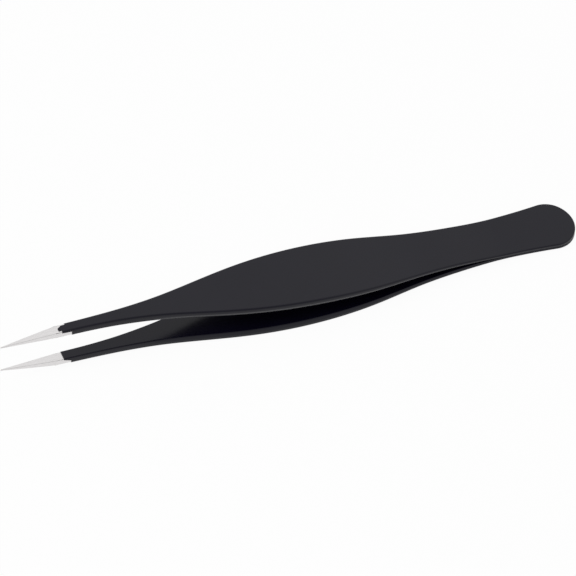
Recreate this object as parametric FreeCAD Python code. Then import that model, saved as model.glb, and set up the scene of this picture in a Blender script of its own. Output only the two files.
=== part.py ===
import FreeCAD, Part
import math
import os

from FreeCAD import Vector

# Fine-point tweezers: two bowed steel arms welded together at a round tail, finished
# all over in one black coat, with the points ground bare and sharp.
# Millimetres. While the arms are drawn, X runs from the points (0) to the tail, Y is across,
# and Z is the way that the arms open, with the plane between the arms at Z = 0.
# At the end the tweezers are laid down as they rest, on the belly of the lower arm and on
# the tail, with +Z up.

# Overall
length = 115.0
coat = 0.1

# Plan outline of an arm's steel: where each station lies, and half the width there
shank_at = 14.0
shank_half_width = 1.04
leaf_at = 63.0
leaf_half_width = 7.21
neck_from_tail = 20.5
neck_half_width = 4.77
# Points between two stations: share of the way along, share of the change of width
leaf_front_shape = ((0.2, 0.07), (0.36, 0.238), (0.5, 0.477), (0.7, 0.806))
leaf_back_shape = ((0.3, 0.184), (0.6, 0.7), (0.8, 0.926))
# Round tail: a wide arc across the end, and a tighter corner arc at each side
tail_half_width = 5.5
tail_flare = 0.105
end_arc_extra = 0.65
corner_arc_less = 1.15

# Side outline of an arm: height of its inner face above the plane between the arms
blank_tip_half_gap = 2.76
blank_tip_slope = 0.034
bow_at = 15.0
bow_half_gap = 3.1
leaf_half_gap = 1.69
weld_length = 14.9
# Points between two stations: share of the way along, share of the fall
bow_shape = ((0.22, 0.098), (0.5, 0.416))
spread_shape = ((0.25, 0.249), (0.5, 0.497), (0.75, 0.763))

# Thickness of an arm's steel: stout in front, thinned behind the leaf so that it springs, and
# thinnest where it is welded
front_thickness = 1.27
leaf_thickness = 1.26
spring_thickness = 0.66
spring_from_tail = 31.0
weld_thickness = 0.5

# Rounded arrises of the steel
outer_arris = 0.28
inner_arris = 0.16

# Ground points
tip_half_width = 0.075
tip_thickness = 0.2
tip_half_gap = 2.865
side_grind_length = 11.8
bevel_length = 12.4
bevel_bulge = 0.07
facet_length = 11.75
facet_depth = 0.05
facet_shoulder = 0.25
# A grinding cut runs out this far above the surface that it leaves
run_out = 0.03

# Where the coat ends, from the point. On the outside of an arm it ends in a tongue, whose
# edge is given in plan from the near side to the far side. On the inside its edge is straight.
tongue_near = (11.62, -1.0)
tongue_front = (11.1, -0.15)
tongue_far = (12.2, 0.6)
far_arris = (12.6, 0.78)
inner_coat_at = 12.1
# The sides stay bare further back, with a sloping edge over part of their height
side_coat_at = 13.45
side_coat_wrap = 0.12

# How far a cutting form reaches past the steel
beyond = 6.0
# Steps along the belly, and halvings of a range, in a search for a place or an angle
outline_steps = 400
halvings = 50

tail = length - coat
weld_at = tail - weld_length
neck_at = tail - neck_from_tail
spring_at = tail - spring_from_tail
end_arc_radius = tail_half_width + end_arc_extra
corner_arc_radius = tail_half_width - corner_arc_less

ACROSS = Vector(0, 1, 0)
UP = Vector(0, 0, 1)


def between(first, last, share):
    return first + (last - first) * share


def eased(share):
    """A smooth step from 0 to 1, level at both ends."""
    share = min(max(share, 0.0), 1.0)
    return share * share * (3.0 - 2.0 * share)


def shaped(start, end, shape):
    """The points between two stations, each a pair of place and size."""
    return [(between(start[0], end[0], way), between(start[1], end[1], change))
            for way, change in shape]


def smooth(points, start_run, end_run):
    """A curve through the points, with its run at each end as given."""
    curve = Part.BSplineCurve()
    curve.interpolate(Points=points, InitialTangent=start_run, FinalTangent=end_run)
    return curve


def grown(points, start_run, end_run, flat_normal, distance):
    """The smooth curve that lies a distance to the right of the one through the points."""
    steel = smooth(points, start_run, end_run)
    if distance == 0:
        return steel
    moved = []
    for point in points:
        run = steel.tangent(steel.parameter(point))[0]
        moved.append(point + run.cross(flat_normal).normalize() * distance)
    return smooth(moved, start_run, end_run)


def face_of(edges):
    return Part.Face(Part.Wire(Part.__sortEdges__(edges)))


def polygon(corners):
    return Part.makePolygon(corners + corners[:1])


def mirrored(shape, normal):
    return shape.mirror(Vector(0, 0, 0), normal)


# Plan outline

def tail_corner():
    """The centre of the far corner's arc, and of the arc across the end."""
    end_centre = Vector(tail - end_arc_radius, 0, 0)
    corner_y = tail_half_width - corner_arc_radius
    apart = end_arc_radius - corner_arc_radius
    corner_x = end_centre.x + math.sqrt(apart ** 2 - corner_y ** 2)
    return Vector(corner_x, corner_y, 0), end_centre


def plan_arc(centre, radius, start, end):
    circle = Part.Circle(centre, UP, radius)
    return Part.Arc(circle, start, end).toShape()


def plan_face(grow):
    """The plan outline of an arm, grown all round by a distance."""
    corner, end_centre = tail_corner()
    lean = math.atan(tail_flare)
    flank_way = Vector(-math.sin(lean), math.cos(lean), 0)
    flank_end = corner + flank_way * corner_arc_radius
    shank = (shank_at, shank_half_width)
    leaf = (leaf_at, leaf_half_width)
    neck = (neck_at, neck_half_width)
    stations = [(0, shank_half_width), shank]
    stations += shaped(shank, leaf, leaf_front_shape) + [leaf]
    stations += shaped(leaf, neck, leaf_back_shape) + [neck]
    points = [Vector(x, y, 0) for x, y in stations] + [flank_end]
    flank = grown(points, Vector(1, 0, 0), Vector(1, tail_flare, 0), -UP, grow)
    meet = corner - end_centre
    meet_angle = math.atan2(meet.y, meet.x)
    far_flank = flank.toShape()
    far_corner = plan_arc(corner, corner_arc_radius + grow, meet_angle, math.pi / 2 + lean)
    end = plan_arc(end_centre, end_arc_radius + grow, -meet_angle, meet_angle)
    start = flank.StartPoint
    blunt = Part.makeLine(start, Vector(start.x, -start.y, 0))
    near = [mirrored(edge, ACROSS) for edge in (far_flank, far_corner)]
    return face_of([far_flank, far_corner, end, blunt] + near)


# Side outline

def thickness(x):
    if x < leaf_at:
        return between(front_thickness, leaf_thickness, eased((x - bow_at) / (leaf_at - bow_at)))
    if x < spring_at:
        share = (x - leaf_at) / (spring_at - leaf_at)
        return between(leaf_thickness, spring_thickness, eased(share))
    share = (x - spring_at) / (weld_at - spring_at)
    return between(spring_thickness, weld_thickness, eased(share))


def inner_stations():
    """The stations of an arm's inner face, from the point to the weld."""
    bow = (bow_at, bow_half_gap)
    leaf = (leaf_at, leaf_half_gap)
    weld = (weld_at, 0)
    stations = [(0, blank_tip_half_gap), bow]
    stations += shaped(bow, leaf, bow_shape) + [leaf]
    stations += shaped(leaf, weld, spread_shape)
    return stations + [weld]


def inner_curve(grow):
    points = [Vector(x, 0, z) for x, z in inner_stations()]
    last_fall = points[-1] - points[-2]
    return grown(points, Vector(1, 0, blank_tip_slope), last_fall, -ACROSS, grow)


def outer_curve(grow):
    points = [Vector(x, 0, z + thickness(x)) for x, z in inner_stations()]
    return grown(points, Vector(1, 0, blank_tip_slope), Vector(1, 0, 0), ACROSS, grow)


def side_face(grow):
    """The side outline of the upper arm, grown by a distance above and below."""
    inner = inner_curve(grow)
    outer = outer_curve(grow)
    back = length + beyond
    top = weld_thickness + grow
    inner_end = inner.EndPoint
    outer_end = outer.EndPoint
    edges = [inner.toShape(), outer.toShape()]
    edges.append(Part.makeLine(inner_end, Vector(back, 0, inner_end.z)))
    edges.append(Part.makeLine(Vector(back, 0, inner_end.z), Vector(back, 0, top)))
    edges.append(Part.makeLine(Vector(back, 0, top), outer_end))
    edges.append(Part.makeLine(outer.StartPoint, inner.StartPoint))
    return face_of(edges)


def blank(grow):
    """The upper arm before its point is ground, grown all round by a distance."""
    reach = leaf_half_width + beyond
    side = side_face(grow)
    side.translate(Vector(0, -reach, 0))
    side_form = side.extrude(Vector(0, 2 * reach, 0))
    plan = plan_face(grow)
    plan.translate(Vector(0, 0, -beyond))
    plan_form = plan.extrude(Vector(0, 0, 3 * beyond))
    return side_form.common(plan_form).Solids[0]


def faces_that_face(body, way):
    """The faces that look along a way, within about 35 degrees."""
    found = []
    for face in body.Faces:
        u_first, u_last, v_first, v_last = face.ParameterRange
        normal = face.normalAt((u_first + u_last) / 2, (v_first + v_last) / 2)
        if normal.dot(way) > 0.8:
            found.append(face)
    return found


def arrises(body, way):
    """The edges round the faces that look along a way, without those between two of them."""
    looking = faces_that_face(body, way)
    edges = []
    for face in looking:
        for edge in face.Edges:
            sharing = sum(edge.isSame(other) for one in looking for other in one.Edges)
            at_blunt_end = edge.BoundBox.XMax < shank_at / 2
            if sharing == 1 and not at_blunt_end:
                edges.append(edge)
    return edges


def rounded_blank(grow):
    body = blank(grow)
    body = body.makeFillet(outer_arris + grow, arrises(body, UP))
    return body.makeFillet(inner_arris + grow, arrises(body, -UP))


# Grinding of the point

def height_at(curve, x):
    """How high a side curve is at a place along it."""
    first, last = curve.FirstParameter, curve.LastParameter
    for _ in range(halvings):
        middle = (first + last) / 2
        if curve.value(middle).x < x:
            first = middle
        else:
            last = middle
    return curve.value(first).z


def side_grinding(grow):
    """What the two side grinds leave: a wedge in plan, open behind the ground length."""
    reach = leaf_half_width + beyond
    ground = shank_half_width + run_out + grow
    corners = [Vector(0, tip_half_width + grow, 0), Vector(side_grind_length, ground, 0)]
    corners += [Vector(side_grind_length, reach, 0), Vector(length + beyond, reach, 0)]
    corners += [Vector(corner.x, -corner.y, 0) for corner in reversed(corners)]
    wedge = Part.Face(polygon(corners))
    wedge.translate(Vector(0, 0, -beyond))
    return wedge.extrude(Vector(0, 0, 3 * beyond))


def face_grinding(grow):
    """What the bevel outside and the facet inside leave: a form in the side view."""
    reach = leaf_half_width + beyond
    inner = inner_curve(grow)
    outer = outer_curve(grow)
    facet_end = Vector(facet_length, 0, height_at(inner, facet_length) + facet_depth)
    shoulder_x = facet_length + facet_shoulder
    shoulder = Vector(shoulder_x, 0, height_at(inner, shoulder_x) - run_out)
    bevel_end = Vector(bevel_length, 0, height_at(outer, bevel_length) + run_out)
    tip_inner = Vector(0, 0, tip_half_gap - grow)
    tip_outer = Vector(0, 0, tip_half_gap + tip_thickness + grow)
    middle = (tip_outer + bevel_end) * 0.5 + UP * bevel_bulge
    top, bottom, back = 2 * beyond, -beyond, length + beyond
    edges = [Part.Arc(tip_outer, middle, bevel_end).toShape()]
    path = [bevel_end, Vector(bevel_length, 0, top), Vector(back, 0, top)]
    path += [Vector(back, 0, bottom), Vector(shoulder_x, 0, bottom)]
    path += [shoulder, facet_end, tip_inner, tip_outer]
    edges += [Part.makeLine(start, end) for start, end in zip(path, path[1:])]
    form = face_of(edges)
    form.translate(Vector(0, -reach, 0))
    return form.extrude(Vector(0, 2 * reach, 0))


def ground_arm(grow):
    """The upper arm with its point ground, grown all round by a distance."""
    rounded = rounded_blank(grow)
    return rounded.common(side_grinding(grow)).common(face_grinding(grow)).Solids[0]


# Coat

def at_height(place, z):
    return Vector(place[0], place[1], z)


def outside_bare(parting, top):
    """What stays bare on the outside of an arm, in front of the tongue."""
    reach = leaf_half_width + beyond
    near, front, far, arris = [at_height(place, parting) for place in
                               (tongue_near, tongue_front, tongue_far, far_arris)]
    path = [far, arris, Vector(arris.x, reach, parting), Vector(-beyond, reach, parting)]
    path += [Vector(-beyond, -reach, parting), Vector(near.x, -reach, parting), near]
    edges = [Part.makeLine(start, end) for start, end in zip(path, path[1:])]
    edges.append(Part.Arc(near, front, far).toShape())
    return face_of(edges).extrude(UP * (top - parting))


def side_bare(line, first_y, last_y):
    """What stays bare between two planes, in front of a line in the side view."""
    corners = [Vector(x, first_y, z) for x, z in line]
    corners += [Vector(-beyond, first_y, line[-1][1]), Vector(-beyond, first_y, line[0][1])]
    return Part.Face(polygon(corners)).extrude(Vector(0, last_y - first_y, 0))


def bare_forms():
    """What the coat leaves bare in front: for each arm, with its outside up, a list of forms."""
    reach = leaf_half_width + beyond
    inner_z = height_at(inner_curve(0), inner_coat_at)
    outer_z = inner_z + front_thickness
    parting = (inner_z + outer_z) / 2
    floor, top = -beyond, 2 * beyond
    outside = outside_bare(parting, top)
    inside = side_bare([(inner_coat_at, parting), (inner_coat_at, floor)], -reach, reach)
    side_y = shank_half_width - side_coat_wrap
    slope_at_outside = [(tongue_near[0], top), (tongue_near[0], outer_z - outer_arris),
                        (side_coat_at, parting), (side_coat_at, floor)]
    slope_at_inside = [(side_coat_at, top), (side_coat_at, parting),
                       (inner_coat_at, inner_z + inner_arris), (inner_coat_at, floor)]
    straight = [(far_arris[0], top), (far_arris[0], floor)]
    upper_sides = [side_bare(slope_at_outside, -reach, -side_y), side_bare(straight, side_y, reach)]
    lower_sides = [side_bare(slope_at_inside, -reach, -side_y),
                   side_bare(slope_at_inside, side_y, reach)]
    return [outside, inside] + upper_sides, [outside, inside] + lower_sides


def skin_of(grown_arm, bare):
    for form in bare:
        grown_arm = grown_arm.cut(form)
    return grown_arm


def coating(upper, lower):
    grown_arm = ground_arm(coat)
    upper_skin, lower_skin = [skin_of(grown_arm, bare) for bare in bare_forms()]
    whole = upper_skin.fuse(mirrored(lower_skin, UP))
    return whole.cut([upper, lower])


# Rest

def rest_tilt():
    """How far the tweezers tip, in degrees, for the lower arm's belly and the tail to touch."""
    belly = outer_curve(coat)
    rounding = outer_arris + coat
    tail_x = length - rounding
    tail_z = weld_thickness + coat - rounding
    outline = [point for point in belly.discretize(Number=outline_steps) if point.x < neck_at]
    level, steep = 0.0, math.atan(front_thickness / weld_length)
    for _ in range(halvings):
        tilt = (level + steep) / 2
        rise, run = math.sin(tilt), math.cos(tilt)
        belly_reach = max(point.z * run + point.x * rise for point in outline)
        tail_reach = tail_z * run + tail_x * rise + rounding
        if belly_reach > tail_reach:
            level = tilt
        else:
            steep = tilt
    return math.degrees(tilt)


def laid_down(pieces):
    """The pieces as they rest, with the middle of the box's underside at the origin."""
    tilt = rest_tilt()
    print("rest tilt, degrees", round(tilt, 3))
    for piece in pieces:
        piece.rotate(Vector(0, 0, 0), ACROSS, tilt)
    box = Part.makeCompound(pieces).optimalBoundingBox(False, False)
    shift = Vector(-(box.XMin + box.XMax) / 2, -(box.YMin + box.YMax) / 2, -box.ZMin)
    for piece in pieces:
        piece.translate(shift)
    return pieces


upper_arm = ground_arm(0)
lower_arm = mirrored(upper_arm, UP)
skin = coating(upper_arm, lower_arm).Solids[0]
names = ("upper_arm", "lower_arm", "coating")
os.makedirs("parts", exist_ok=True)
for name, piece in zip(names, laid_down([upper_arm, lower_arm, skin])):
    piece.exportStep(os.path.join("parts", name + ".step"))
    print(name, "valid", piece.isValid(), "volume", round(piece.Volume, 2))
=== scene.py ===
import bisect
import bmesh
import bpy
import math
import numpy
from mathutils import Matrix, Vector


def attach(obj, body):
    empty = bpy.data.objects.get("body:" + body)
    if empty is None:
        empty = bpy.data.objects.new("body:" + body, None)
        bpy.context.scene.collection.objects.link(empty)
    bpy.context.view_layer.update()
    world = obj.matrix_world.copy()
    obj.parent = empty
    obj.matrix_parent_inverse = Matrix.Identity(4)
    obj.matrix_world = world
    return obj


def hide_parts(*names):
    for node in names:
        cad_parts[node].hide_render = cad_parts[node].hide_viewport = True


# Fine-point tweezers in a black coat, with bare ground points. Metres, in the part's own frame:
# X runs from the points to the tail, Y across the arms, Z up.

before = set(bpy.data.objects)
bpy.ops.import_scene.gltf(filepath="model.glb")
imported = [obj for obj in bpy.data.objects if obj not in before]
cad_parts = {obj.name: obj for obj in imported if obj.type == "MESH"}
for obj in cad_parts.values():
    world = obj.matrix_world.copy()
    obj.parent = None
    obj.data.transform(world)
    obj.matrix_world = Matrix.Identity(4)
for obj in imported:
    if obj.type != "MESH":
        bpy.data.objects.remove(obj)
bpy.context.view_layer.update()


# Shader values as Python expressions

class Value:
    """One output of a shader node. Sums, differences and products add their Math nodes."""

    def __init__(self, finish, socket):
        self.finish = finish
        self.socket = socket

    def maths(self, operation, first, second):
        return self.finish.node("Math", {"operation": operation}, {0: first, 1: second})

    def __add__(self, other):
        return self.maths("ADD", self, other)

    def __radd__(self, other):
        return self.maths("ADD", other, self)

    def __rsub__(self, other):
        return self.maths("SUBTRACT", other, self)

    def __mul__(self, other):
        return self.maths("MULTIPLY", self, other)

    def __rmul__(self, other):
        return self.maths("MULTIPLY", other, self)


class Finish:
    """A material or a world, built node by node."""

    def __init__(self, owner):
        self.owner = owner
        owner.use_nodes = True
        self.tree = owner.node_tree
        self.tree.nodes.clear()

    def node(self, kind, settings=None, sockets=None, output=0):
        made = self.tree.nodes.new("ShaderNode" + kind)
        for name, value in (settings or {}).items():
            setattr(made, name, value)
        for name, value in (sockets or {}).items():
            if isinstance(value, Value):
                self.tree.links.new(value.socket, made.inputs[name])
            else:
                made.inputs[name].default_value = value
        if not made.outputs:
            return made
        return Value(self, made.outputs[output])

    def place(self):
        return self.node("TexCoord", output="Object")

    def stretched(self, place, scale):
        """The place with each axis stretched, so that a pattern gets its grain."""
        return self.node("Mapping", {"vector_type": "POINT"}, {"Vector": place, "Scale": scale})

    def noise(self, place, scale, detail=2.0, roughness=0.5):
        return self.node("TexNoise", None, {"Vector": place, "Scale": scale, "Detail": detail,
                                            "Roughness": roughness})

    def mixed(self, share, first, second):
        return self.node("Mix", {"data_type": "RGBA"}, {"Factor": share, 6: first, 7: second},
                         output=2)

    def bump(self, height, strength, distance):
        return self.node("Bump", None, {"Height": height, "Strength": strength,
                                        "Distance": distance})

    def surface(self, shader):
        kind = "OutputWorld" if isinstance(self.owner, bpy.types.World) else "OutputMaterial"
        self.node(kind, None, {"Surface": shader})
        return self.owner


def new_finish(name):
    return Finish(bpy.data.materials.new(name))


def black_coat():
    """A thin satin black coat: a fine orange-peel skin, faintly uneven in tone and gloss."""
    f = new_finish("black_coat")
    place = f.place()
    peel = f.noise(place, 2600.0, 3.0, 0.6)
    cloud = f.noise(place, 140.0, 2.0)
    tone = f.mixed(cloud, (0.0022, 0.0018, 0.0068, 1.0), (0.0036, 0.0029, 0.0094, 1.0))
    gloss = 0.16 + 0.05 * cloud + 0.04 * peel
    skin = f.bump(peel, 0.06, 0.00001)
    return f.surface(f.node("BsdfPrincipled", None, {
        "Base Color": tone, "Roughness": gloss, "Normal": skin, "IOR": 1.345}))


def ground_steel():
    """Bare stainless steel, ground along its length."""
    f = new_finish("ground_steel")
    place = f.place()
    lines = f.noise(f.stretched(place, (0.04, 1.0, 1.0)), 9000.0, 3.0, 0.65)
    cloud = f.noise(place, 300.0, 2.0)
    tone = f.mixed(lines, (0.60, 0.585, 0.585, 1.0), (0.84, 0.825, 0.825, 1.0))
    gloss = 0.22 + 0.10 * lines + 0.05 * cloud
    scratches = f.bump(lines, 0.15, 0.00001)
    return f.surface(f.node("BsdfPrincipled", None, {
        "Base Color": tone, "Metallic": 1.0, "Roughness": gloss, "Normal": scratches}))


def white_table():
    """A white table that shows as clean white paper, with the tweezers' soft shadow on it."""
    f = new_finish("white_table")
    seen = f.node("LightPath", output="Is Camera Ray")
    mirrored = f.node("LightPath", output="Is Glossy Ray")
    through = f.node("LightPath", output="Is Transmission Ray")
    paper = f.node("BsdfDiffuse", None, {"Color": (0.86, 0.86, 0.86, 1.0)})
    white = f.node("Emission", None, {"Color": (1.0, 1.0, 1.0, 1.0), "Strength": 1.0})
    share = 0.95 * seen + mirrored + through
    return f.surface(f.node("MixShader", None, {0: share, 1: paper, 2: white}))


# Camera, at the photograph's viewing angle

view_azimuth = math.radians(-20.9)
view_elevation = math.radians(46.5)
view_distance = 1.111
view_centre = Vector((0.00007, 0.0, 0.00332))
lens_mm = 370.3
shift_right = -0.0043
shift_up = 0.0018
sensor_mm = 36.0
nearest, farthest = 0.05, 20.0

back = Vector((math.sin(view_azimuth) * math.cos(view_elevation),
               -math.cos(view_azimuth) * math.cos(view_elevation), math.sin(view_elevation)))
camera = bpy.data.objects.new("camera", bpy.data.cameras.new("camera"))
bpy.context.scene.collection.objects.link(camera)
camera.location = view_centre + back * view_distance
camera.rotation_mode = "QUATERNION"
camera.rotation_quaternion = (-back).to_track_quat("-Z", "Y")
camera.data.lens = lens_mm
camera.data.sensor_width = sensor_mm
camera.data.shift_x = shift_right
camera.data.shift_y = shift_up
camera.data.clip_start = nearest
camera.data.clip_end = farthest
bpy.context.scene.camera = camera
bpy.context.scene.view_settings.view_transform = "Standard"


# Table, lamps and surroundings

table_size = 4.0
# The table's top lies this far under the part, so that the two are nowhere in one plane
table_gap = 0.00002


def flat_sheet(name, size, z):
    mesh = bpy.data.meshes.new(name)
    half = size / 2
    corners = [(-half, -half, z), (half, -half, z), (half, half, z), (-half, half, z)]
    mesh.from_pydata(corners, [], [(0, 1, 2, 3)])
    made = bpy.data.objects.new(name, mesh)
    bpy.context.scene.collection.objects.link(made)
    return made


table = flat_sheet("table", table_size, -table_gap)
table.data.materials.append(white_table())

lamp_size = 0.5


def soft_lamp(name, place, power):
    lamp = bpy.data.lights.new(name, "AREA")
    lamp.shape = "DISK"
    lamp.size = lamp_size
    lamp.energy = power
    made = bpy.data.objects.new(name, lamp)
    bpy.context.scene.collection.objects.link(made)
    made.location = place
    made.rotation_mode = "QUATERNION"
    made.rotation_quaternion = (-Vector(place)).to_track_quat("-Z", "Y")
    return made


soft_lamp("lamp_over", (-0.7, -0.1, 0.75), 3.0)
soft_lamp("lamp_left", (-0.9, 0.1, 0.5), 2.0)

world = bpy.data.worlds.new("studio")
bpy.context.scene.world = world
studio = Finish(world)
# The surroundings are white, and darker towards the front, where they mirror in the coat
front_way = (-0.25, -0.66, 0.71)
shown = studio.node("LightPath", output="Is Camera Ray")
gleam = studio.node("LightPath", output="Is Glossy Ray")
clear = studio.node("LightPath", output="Is Transmission Ray")
way = studio.node("TexCoord", output="Generated")
towards_front = studio.node("VectorMath", {"operation": "DOT_PRODUCT"},
                            {0: way, 1: front_way}, output="Value")
dark_front = studio.node("MapRange", {"interpolation_type": "SMOOTHSTEP"},
                         {"Value": towards_front, "From Min": 0.45, "From Max": 0.95})
wall_light = 0.6 + 0.4 * (shown + (1.0 - 1.2 * dark_front) * gleam + clear)
studio.surface(studio.node("Background", None, {"Color": (1.0, 1.0, 1.0, 1.0),
                                                "Strength": wall_light}))


# Sizes of the arms in millimetres, drawn with X from the points (0) to the tail, Y across,
# and Z the way the arms open, with the plane between them at 0. A pair is a place along the
# arm and the size there.
metres_in_mm = 0.001

length = 115.0
coat = 0.1
tail = length - coat
shank = (14.0, 1.04)
leaf = (63.0, 7.21)
neck = (tail - 20.5, 4.77)
# Points between two stations: share of the way along, share of the change
leaf_front = ((0.2, 0.07), (0.36, 0.238), (0.5, 0.477), (0.7, 0.806))
leaf_back = ((0.3, 0.184), (0.6, 0.7), (0.8, 0.926))
tail_half_width = 5.5
tail_flare = 0.105
end_arc_radius = 6.15
corner_arc_radius = 4.35
weld_at = tail - 14.9
bow = (15.0, 3.1)
blank_tip = (0.0, 2.76)
blank_tip_slope = 0.034
leaf_half_gap = 1.69
bow_shape = ((0.22, 0.098), (0.5, 0.416))
spread_shape = ((0.25, 0.249), (0.5, 0.497), (0.75, 0.763))

front_thickness = 1.27
leaf_thickness = 1.26
spring_thickness = 0.66
spring_at = tail - 31.0
weld_thickness = 0.5
rest_tilt = math.radians(2.7336)

# Rounded arrises of the steel
outer_arris = 0.28
inner_arris = 0.16
# The edge of an arm is square to its outer face, then turns by a slight crown and leans in
# towards the inner face, as blanked sheet does. The shanks in front are ground square.
crown_radius = 0.6
edge_lean = 19.0
lean_height = 0.42
square_until = 26.0
leaning_from = 38.0
# A rim on each flat face, beside its arris, which keeps the face's shading flat
flat_margin = 0.06

# The bar reaches this far past the point before it is ground, and is bowed in slices
front_spare = 1.0
slice_length = 1.0
# A vertex of the edge looks outwards by at least this much
outwards_least = 0.02

# Ground points
tip_half_width = 0.075
tip_thickness = 0.2
tip_half_gap = 2.865
side_grind_length = 11.8
bevel_length = 12.4
bevel_bulge = 0.07
facet_length = 11.75
facet_depth = 0.05
facet_shoulder = 0.25
run_out = 0.03

# Where the coat ends
tongue_near = (11.75, -1.0)
tongue_turn = (11.2, -0.45)
tongue_front = (11.2, 0.1)
far_arris = (12.75, 1.1)
inner_coat_at = 12.2
side_coat_at = 13.66
side_coat_wrap = 0.45
# How high the upper arm's bare side is at its back end, as a share of the thickness
side_bare_share = 0.72

# How far a cutting form reaches past the steel
beyond = 6.0

# Steps along each curve
flank_steps = 140
corner_steps = 14
end_steps = 8
bevel_steps = 8
tongue_steps = 10
outer_arris_steps = 6
crown_steps = 3
inner_arris_steps = 5


def between(first, last, share):
    return first + (last - first) * share


def eased(share):
    share = min(max(share, 0.0), 1.0)
    return share * share * (3.0 - 2.0 * share)


def shaped(start, end, shape):
    return [(between(start[0], end[0], way), between(start[1], end[1], change))
            for way, change in shape]


class Run:
    """A smooth curve through stations along X, with its slope at each end as given."""

    def __init__(self, stations, first_slope, last_slope):
        self.x = [x for x, size in stations]
        self.size = [size for x, size in stations]
        count = len(stations)
        sums = numpy.zeros((count, count))
        right = numpy.zeros(count)
        sums[0, 0] = sums[-1, -1] = 1.0
        right[0], right[-1] = first_slope, last_slope
        for i in range(1, count - 1):
            before = self.x[i] - self.x[i - 1]
            after = self.x[i + 1] - self.x[i]
            sums[i, i - 1:i + 2] = (1 / before, 2 / before + 2 / after, 1 / after)
            rise_before = (self.size[i] - self.size[i - 1]) / before ** 2
            rise_after = (self.size[i + 1] - self.size[i]) / after ** 2
            right[i] = 3 * (rise_before + rise_after)
        self.slope = list(numpy.linalg.solve(sums, right))

    def at(self, x):
        """The size and the slope at a place."""
        i = max(bisect.bisect_right(self.x, x) - 1, 0)
        i = min(i, len(self.x) - 2)
        span = self.x[i + 1] - self.x[i]
        t = (x - self.x[i]) / span
        a, b = self.size[i], self.size[i + 1]
        m, n = self.slope[i] * span, self.slope[i + 1] * span
        size = ((2 * t ** 3 - 3 * t ** 2 + 1) * a + (t ** 3 - 2 * t ** 2 + t) * m
                + (3 * t ** 2 - 2 * t ** 3) * b + (t ** 3 - t ** 2) * n)
        slope = ((6 * t ** 2 - 6 * t) * a + (3 * t ** 2 - 4 * t + 1) * m
                 + (6 * t - 6 * t ** 2) * b + (3 * t ** 2 - 2 * t) * n) / span
        return size, slope


# The outline of an arm in plan

def plan_outline(grow):
    """One half of an arm's outline, from in front of the point to the middle of the tail."""
    lean = math.atan(tail_flare)
    end_centre = Vector((tail - end_arc_radius, 0.0))
    corner_y = tail_half_width - corner_arc_radius
    apart = end_arc_radius - corner_arc_radius
    corner = Vector((end_centre.x + math.sqrt(apart ** 2 - corner_y ** 2), corner_y))
    flank_end = corner + Vector((-math.sin(lean), math.cos(lean))) * corner_arc_radius
    stations = [(-front_spare, shank[1]), (0.0, shank[1]), shank]
    stations += shaped(shank, leaf, leaf_front) + [leaf]
    stations += shaped(leaf, neck, leaf_back) + [neck, tuple(flank_end)]
    flank = Run(stations, 0.0, tail_flare)
    points = []
    for step in range(flank_steps + 1):
        x = between(-front_spare, flank_end.x, step / flank_steps)
        y, slope = flank.at(x)
        points.append(Vector((x, y)) + Vector((-slope, 1.0)).normalized() * grow)
    meet = math.atan2(corner_y, corner.x - end_centre.x)
    points += arc(corner, corner_arc_radius + grow, math.pi / 2 + lean, meet, corner_steps)
    points += arc(end_centre, end_arc_radius + grow, meet, 0.0, end_steps)
    return points


def arc(centre, radius, start, end, steps):
    """Points round an arc, without its first."""
    angles = [between(start, end, step / steps) for step in range(1, steps + 1)]
    return [centre + Vector((math.cos(angle), math.sin(angle))) * radius for angle in angles]


# The height of an arm's two faces

def bow_runs():
    bow_stations = [blank_tip, bow] + shaped(bow, (leaf[0], leaf_half_gap), bow_shape)
    bow_stations.append((leaf[0], leaf_half_gap))
    weld = (weld_at, 0.0)
    bow_stations += shaped(bow_stations[-1], weld, spread_shape)
    last = bow_stations[-1]
    inner = Run(bow_stations + [weld], blank_tip_slope, (0.0 - last[1]) / (weld_at - last[0]))
    thick = [(x, z + thickness(x)) for x, z in bow_stations + [weld]]
    return inner, Run(thick, blank_tip_slope, 0.0)


def thickness(x):
    if x < leaf[0]:
        share = (x - bow[0]) / (leaf[0] - bow[0])
        return between(front_thickness, leaf_thickness, eased(share))
    if x < spring_at:
        share = (x - leaf[0]) / (spring_at - leaf[0])
        return between(leaf_thickness, spring_thickness, eased(share))
    share = (x - spring_at) / (weld_at - spring_at)
    return between(spring_thickness, weld_thickness, eased(share))


inner_run, outer_run = bow_runs()


def face_heights(x):
    """The heights of an arm's inner and outer face, in steel."""
    if x >= weld_at:
        return 0.0, weld_thickness
    return inner_run.at(x)[0], outer_run.at(x)[0]


# An arm is a flat bar with a crowned edge, which is then bowed

def quarter(radius, start, end, steps):
    """Steps round a rounding, each a way inwards and a way up."""
    turns = [between(start, end, step / steps) for step in range(steps + 1)]
    return [(radius * (math.cos(a) - math.cos(b)), radius * (math.sin(b) - math.sin(a)))
            for a, b in zip(turns, turns[1:])]


def edge_steps(grow):
    """The steps from the widest place of the edge, to the outer face and to the inner face."""
    lean = math.radians(edge_lean)
    outer_steps = quarter(outer_arris + grow, 0.0, math.pi / 2, outer_arris_steps)
    inner_steps = quarter(crown_radius, 0.0, lean, crown_steps)
    inner_steps.append((lean_height * math.tan(lean), lean_height))
    inner_steps += quarter(inner_arris + grow / 2, lean, math.pi / 2, inner_arris_steps)
    return outer_steps, inner_steps


def total(steps, part):
    return sum(step[part] for step in steps)


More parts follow.
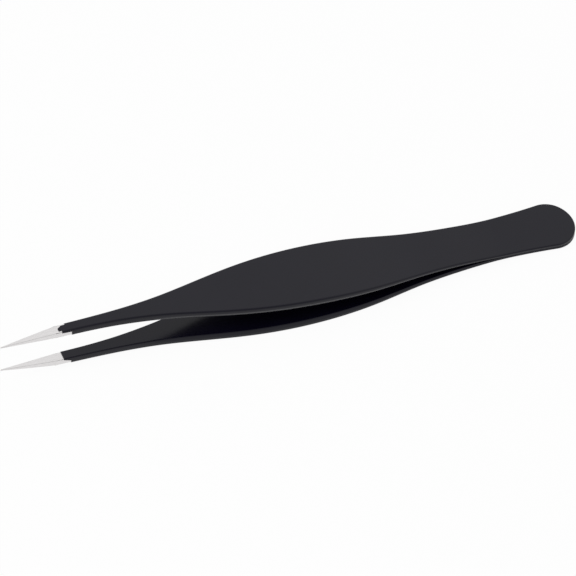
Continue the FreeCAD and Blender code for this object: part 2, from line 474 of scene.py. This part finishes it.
class Edge:
    """How far in from the widest place the bar's edge lies, at each height in the bar."""

    def __init__(self, grow):
        outer_steps, inner_steps = edge_steps(grow)
        wide_low = total(inner_steps, 1)
        wide_high = bar_thickness(grow) - total(outer_steps, 1)
        low = [(wide_low - total(inner_steps[:count], 1), total(inner_steps[:count], 0))
               for count in range(len(inner_steps), -1, -1)]
        high = [(wide_high + total(outer_steps[:count], 1), total(outer_steps[:count], 0))
                for count in range(len(outer_steps) + 1)]
        self.heights = [height for height, inset in low + high]
        self.leaning = [inset for height, inset in low + high]
        self.square = [self.rounding(height, inner_arris + grow) for height, inset in low]
        self.square += [inset for height, inset in high]

    def rounding(self, height, radius):
        return radius - math.sqrt(max(radius ** 2 - max(radius - height, 0.0) ** 2, 0.0))

    def spread(self, x, height, thinned):
        """How far outwards a place on the bar's edge moves, so that the edge is square in
        front and finer where the arm is thinned."""
        leaning = float(numpy.interp(height, self.heights, self.leaning))
        square = float(numpy.interp(height, self.heights, self.square))
        way = eased((x - square_until) / (leaning_from - square_until))
        return leaning - between(square, leaning, way) * thinned


def flat_bar(grow):
    """The bar's plan is the arm's. Its edge is square to the outer face, and leans in
    towards the inner face."""
    outer_steps, inner_steps = edge_steps(grow)
    rise_out = total(outer_steps, 1)
    rise_in = total(inner_steps, 1)
    bar = bmesh.new()
    half = plan_outline(grow)
    ring = [bar.verts.new((point.x, point.y, rise_in)) for point in half]
    ring += [bar.verts.new((point.x, -point.y, rise_in)) for point in reversed(half[:-1])]
    inside = bar.faces.new(ring)
    made = bmesh.ops.extrude_face_region(bar, geom=[inside])["geom"]
    outside = [item for item in made if isinstance(item, bmesh.types.BMFace)][0]
    lift = bar_thickness(grow) - rise_in - rise_out
    bmesh.ops.translate(bar, vec=(0.0, 0.0, lift), verts=list(outside.verts))
    bmesh.ops.recalc_face_normals(bar, faces=list(bar.faces))
    for face, steps in ((outside, outer_steps), (inside, inner_steps)):
        for inwards, up in steps + [(flat_margin, 0.0)]:
            bmesh.ops.inset_region(bar, faces=[face], thickness=inwards, depth=up,
                                   use_even_offset=True, use_boundary=True)
    return bar


def bar_thickness(grow):
    return front_thickness + 2 * grow


def bowed_arm(grow):
    """The upper arm before its point is ground. Where it is thin its edge is finer too."""
    bar = flat_bar(grow)
    for cut in range(int((tail + front_spare) / slice_length)):
        place = ((cut + 0.5) * slice_length - front_spare, 0.0, 0.0)
        everything = list(bar.verts) + list(bar.edges) + list(bar.faces)
        bmesh.ops.bisect_plane(bar, geom=everything, plane_co=place, plane_no=(1.0, 0.0, 0.0))
    edge = Edge(grow)
    full = bar_thickness(grow)
    bar.normal_update()
    outwards = [Vector((vert.normal.x, vert.normal.y, 0.0)) for vert in bar.verts]
    for vert, outward in zip(bar.verts, outwards):
        inner, outer = face_heights(max(vert.co.x, 0.0))
        inner, outer = inner - grow, outer + grow
        share = (outer - inner) / full
        if outward.length > outwards_least:
            vert.co += outward.normalized() * edge.spread(vert.co.x, vert.co.z, share)
        vert.co.z = between(inner, outer, vert.co.z / full)
    return bar


# Forms that cut

def prism(outline, lift):
    """A form with one outline, a list of corners in one plane, drawn out by a vector."""
    form = bmesh.new()
    face = form.faces.new([form.verts.new(corner) for corner in outline])
    made = bmesh.ops.extrude_face_region(form, geom=[face])["geom"]
    moved = [item for item in made if isinstance(item, bmesh.types.BMVert)]
    bmesh.ops.translate(form, vec=lift, verts=moved)
    bmesh.ops.recalc_face_normals(form, faces=list(form.faces))
    return form


def side_form(outline, first_y=-beyond, last_y=beyond):
    """A form with an outline in the side view, between two places across."""
    return prism([(x, first_y, z) for x, z in outline], (0.0, last_y - first_y, 0.0))


def plan_form(outline, low, high):
    return prism([(x, y, low) for x, y in outline], (0.0, 0.0, high - low))


def as_object(form, name):
    mesh = bpy.data.meshes.new(name)
    form.to_mesh(mesh)
    form.free()
    made = bpy.data.objects.new(name, mesh)
    bpy.context.scene.collection.objects.link(made)
    return made


def carved(body, operation, forms):
    """The body after each form has been cut from it, or after it is kept to the form."""
    for form in forms:
        cut = body.modifiers.new("cut", "BOOLEAN")
        cut.operation = operation
        cut.solver = "EXACT"
        cut.object = form
        seen = body.evaluated_get(bpy.context.evaluated_depsgraph_get())
        mesh = bpy.data.meshes.new_from_object(seen)
        body.modifiers.clear()
        old = body.data
        body.data = mesh
        bpy.data.meshes.remove(old)
    return body


def cleared(objects):
    for made in objects:
        mesh = made.data
        bpy.data.objects.remove(made)
        bpy.data.meshes.remove(mesh)


# Grinding of the point

def ground_forms(grow):
    """What the two side grinds leave, and what the bevel and the facet leave."""
    wedge = [(0.0, tip_half_width + grow), (side_grind_length, shank[1] + run_out + grow),
             (side_grind_length, 2 * beyond), (length + beyond, 2 * beyond)]
    wedge += [(x, -y) for x, y in reversed(wedge)]
    start = Vector((0.0, tip_half_gap + tip_thickness + grow))
    end = Vector((bevel_length, face_heights(bevel_length)[1] + grow + run_out))
    bevel = [start.lerp(end, step / bevel_steps) for step in range(bevel_steps + 1)]
    for step, point in enumerate(bevel):
        share = step / bevel_steps
        point.y += bevel_bulge * 4.0 * share * (1.0 - share)
    facet_end = (facet_length, face_heights(facet_length)[0] - grow + facet_depth)
    shoulder_x = facet_length + facet_shoulder
    shoulder = (shoulder_x, face_heights(shoulder_x)[0] - grow - run_out)
    outline = [tuple(point) for point in bevel] + [(bevel_length, 2 * beyond)]
    outline += [(length + beyond, 2 * beyond), (length + beyond, -beyond)]
    outline += [(shoulder_x, -beyond), shoulder, facet_end, (0.0, tip_half_gap - grow)]
    return plan_form(wedge, -beyond, 2 * beyond), side_form(outline, -2 * beyond, 2 * beyond)


def ground_arm(grow, name):
    forms = [as_object(form, "grinding") for form in ground_forms(grow)]
    arm = carved(as_object(bowed_arm(grow), name), "INTERSECT", forms)
    cleared(forms)
    return arm


# What the coat leaves bare in front

def bare_forms():
    inner_z, outer_z = face_heights(inner_coat_at)
    parting = (inner_z + outer_z) / 2
    side_top = between(inner_z, outer_z, side_bare_share)
    low, high = -beyond, 2 * beyond
    near, turn, front = [Vector(place) for place in (tongue_near, tongue_turn, tongue_front)]
    tongue = arc_through(near, turn, front, tongue_steps)
    edge = [(-beyond, -2 * beyond), (near.x, -2 * beyond)] + [tuple(point) for point in tongue]
    edge += [far_arris, (far_arris[0], 2 * beyond), (-beyond, 2 * beyond)]
    outside = plan_form(edge, parting, high)
    inside = side_form([(-beyond, low), (inner_coat_at, low), (inner_coat_at, parting),
                        (-beyond, parting)], -2 * beyond, 2 * beyond)
    side_y = shank[1] - side_coat_wrap
    slope_outside = [(-beyond, high), (near.x, high), (near.x, outer_z - outer_arris),
                     (side_coat_at, side_top), (side_coat_at, low), (-beyond, low)]
    slope_inside = [(-beyond, high), (side_coat_at, high), (side_coat_at, parting),
                    (inner_coat_at, inner_z + inner_arris), (inner_coat_at, low), (-beyond, low)]
    straight = [(-beyond, high), (far_arris[0], high), (far_arris[0], low), (-beyond, low)]
    upper = [side_form(slope_outside, -beyond, -side_y), side_form(straight, side_y, beyond)]
    lower = [side_form(slope_inside, -beyond, -side_y), side_form(slope_inside, side_y, beyond)]
    return [outside, inside], upper, lower


def arc_through(first, middle, last, steps):
    """Points of the arc through three points."""
    a, b = middle - first, last - middle
    turned = Vector((-a.y, a.x))
    gap = (last - first) / 2
    along = gap.dot(b) / turned.dot(b)
    centre = (first + middle) / 2 + turned * along
    radius = (first - centre).length
    start = math.atan2(first.y - centre.y, first.x - centre.x)
    end = math.atan2(last.y - centre.y, last.x - centre.x)
    while end > start:
        end -= 2 * math.pi
    return [first] + arc(centre, radius, start, end, steps)


def turned_over(made):
    """The same piece on the other side of the plane between the arms."""
    shape = bmesh.new()
    shape.from_mesh(made.data)
    bmesh.ops.scale(shape, vec=(1.0, 1.0, -1.0), verts=list(shape.verts))
    bmesh.ops.reverse_faces(shape, faces=list(shape.faces))
    shape.to_mesh(made.data)
    shape.free()
    return made


def copied(made, name):
    other = bpy.data.objects.new(name, made.data.copy())
    bpy.context.scene.collection.objects.link(other)
    return other


def coated_skin(upper_arm, lower_arm):
    grown = ground_arm(coat, "black_coat")
    under = turned_over(copied(grown, "under_coat"))
    faces, upper_sides, lower_sides = [[as_object(form, "bare") for form in forms]
                                       for forms in bare_forms()]
    carved(grown, "DIFFERENCE", faces + upper_sides)
    for form in faces + lower_sides:
        turned_over(form)
    carved(under, "DIFFERENCE", faces + lower_sides)
    carved(grown, "UNION", [under])
    carved(grown, "DIFFERENCE", [upper_arm, lower_arm])
    cleared(faces + upper_sides + lower_sides + [under])
    return grown


# Finishes

coat_finish = black_coat()
steel_finish = ground_steel()
for name, finish in (("upper_arm", steel_finish), ("lower_arm", steel_finish),
                     ("coating", coat_finish)):
    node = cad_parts[name]
    node.data.materials.clear()
    node.data.materials.append(finish)


# The pieces, laid down as they rest

# Edges with a smaller angle, in degrees, shade smooth
steel_smooth_below = 4.0
coat_smooth_below = 24.0
# The fine rounding along the steel's ground edges, in metres, and the least angle that gets it
ground_edge_width = 0.00006
ground_edge_angle = math.radians(30)

upper_arm = ground_arm(0.0, "upper_arm_steel")
lower_arm = turned_over(copied(upper_arm, "lower_arm_steel"))
black_skin = coated_skin(upper_arm, lower_arm)
made_pieces = (upper_arm, lower_arm, black_skin)
turn = Matrix.Rotation(rest_tilt, 4, "Y")
for made in made_pieces:
    made.data.transform(turn)
places = [vert.co for made in made_pieces for vert in made.data.vertices]
middle_x = (min(place.x for place in places) + max(place.x for place in places)) / 2
lowest = min(place.z for place in places)
settle = Matrix.Scale(metres_in_mm, 4) @ Matrix.Translation((-middle_x, 0.0, -lowest))
for made, node, slot, finish, smooth_below in (
        (upper_arm, "upper_arm", "steel", steel_finish, steel_smooth_below),
        (lower_arm, "lower_arm", "steel", steel_finish, steel_smooth_below),
        (black_skin, "coating", "coat", coat_finish, coat_smooth_below)):
    made.data.transform(settle)
    made.data.materials.clear()
    made.data.materials.append(finish)
    made.data.shade_smooth()
    made.data.set_sharp_from_angle(angle=math.radians(smooth_below))
    if slot == "steel":
        edge = made.modifiers.new("ground_edge", "BEVEL")
        edge.limit_method = "ANGLE"
        edge.angle_limit = ground_edge_angle
        edge.width = ground_edge_width
        edge.segments = 3
        edge.profile = 0.5
        edge.use_clamp_overlap = False
    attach(made, "root")
    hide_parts(node)
